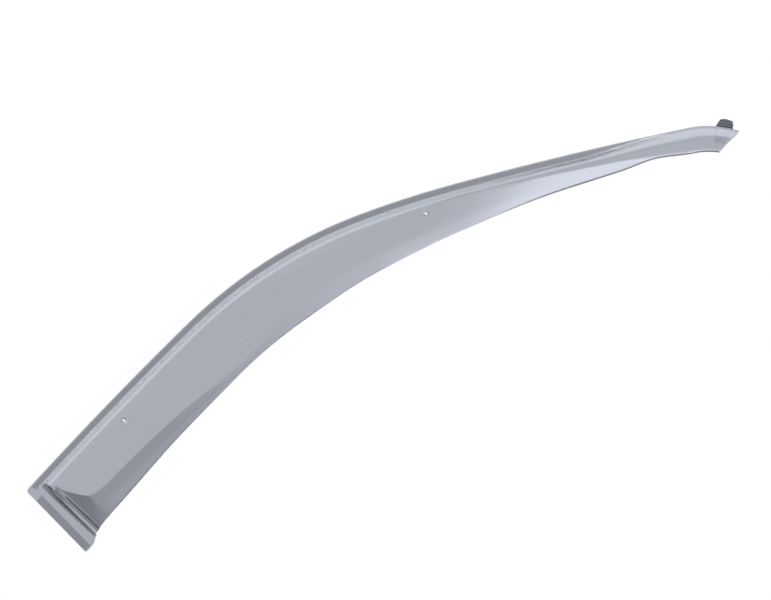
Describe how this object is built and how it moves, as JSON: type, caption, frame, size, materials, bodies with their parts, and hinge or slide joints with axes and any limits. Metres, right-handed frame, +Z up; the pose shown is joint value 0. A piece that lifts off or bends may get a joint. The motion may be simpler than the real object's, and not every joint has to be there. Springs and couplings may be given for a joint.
{
  "type": "window rain deflector",
  "caption": "Smoke acrylic rain deflector for a car side window: a long arched sheet with a taped flange, a raised panel with a turned-in lip, and a clip at its narrow front tip.",
  "frame": {"origin": "midway between the two clip holes, within the sheet's thickness at both", "axes": "+X along the line through the clip holes, towards the narrow front tip; +Z up; the outer face looks along -Y, and the window lies on the +Y side"},
  "size_m": [0.9511, 0.0476, 0.1998],
  "materials": {
    "smoke_acrylic": "moulded see-through sheet with a smoke tint and a polished face",
    "foam_tape": "black closed-cell foam with adhesive faces",
    "clip_plastic": "moulded, dark grey",
    "clear_adhesive": "pale acrylic adhesive pad with trapped air bubbles"
  },
  "bodies": {
    "root": {"visor": "smoke_acrylic", "upper_tape": "foam_tape", "rear_tape": "foam_tape", "front_clip": "clip_plastic", "clip_pad": "clear_adhesive"}
  },
  "joints": []
}
